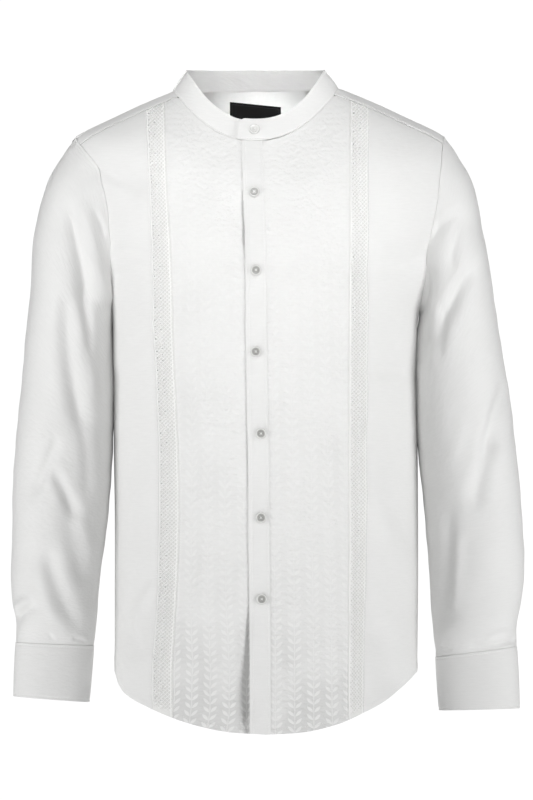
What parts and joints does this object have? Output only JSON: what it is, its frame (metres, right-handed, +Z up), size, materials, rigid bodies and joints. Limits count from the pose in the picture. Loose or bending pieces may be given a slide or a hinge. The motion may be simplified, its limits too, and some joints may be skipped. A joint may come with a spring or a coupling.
{
  "type": "koko shirt",
  "caption": "White long-sleeved stand-collar shirt, worn form with no wearer: hollow body and sleeves, curved hem, lace tapes beside leaf-patterned fronts, buttoned placket and cuffs.",
  "frame": {"origin": "between the shoulders, level with the seam of the collar at the sides of the neck, where the wearer's neck and shoulders carry the shirt", "axes": "+Z up, from the hem to the collar; +X to the wearer's left; the buttoned front faces -Y"},
  "size_m": [0.6082, 0.25, 0.7854],
  "materials": {
    "cotton": "white cotton poplin, plain weave, matte",
    "jacquard": "white cotton jacquard with satin leaves on a matte ground",
    "lace": "white cotton lace insertion tape with a lattice of small holes",
    "band_cotton": "white interlined cotton, topstitched near its edges",
    "button_shell": "translucent white polyester, polished",
    "label_satin": "black woven satin, plain"
  },
  "bodies": {
    "root": {"yoke": "cotton", "back": "cotton", "side_front_left": "cotton", "side_front_right": "cotton", "centre_front_left": "jacquard", "centre_front_right": "jacquard", "lace_tape_left": "lace", "lace_tape_right": "lace", "placket": "band_cotton", "button_stand": "band_cotton", "collar_band": "band_cotton", "sleeve_left": "cotton", "sleeve_right": "cotton", "sleeve_placket_left": "cotton", "sleeve_placket_right": "cotton", "cuff_left": "band_cotton", "cuff_right": "band_cotton", "front_button_1": "button_shell", "front_button_2": "button_shell", "front_button_3": "button_shell", "front_button_4": "button_shell", "front_button_5": "button_shell", "front_button_6": "button_shell", "front_button_7": "button_shell", "cuff_button_left": "button_shell", "cuff_button_right": "button_shell", "neck_label": "label_satin"}
  },
  "joints": []
}
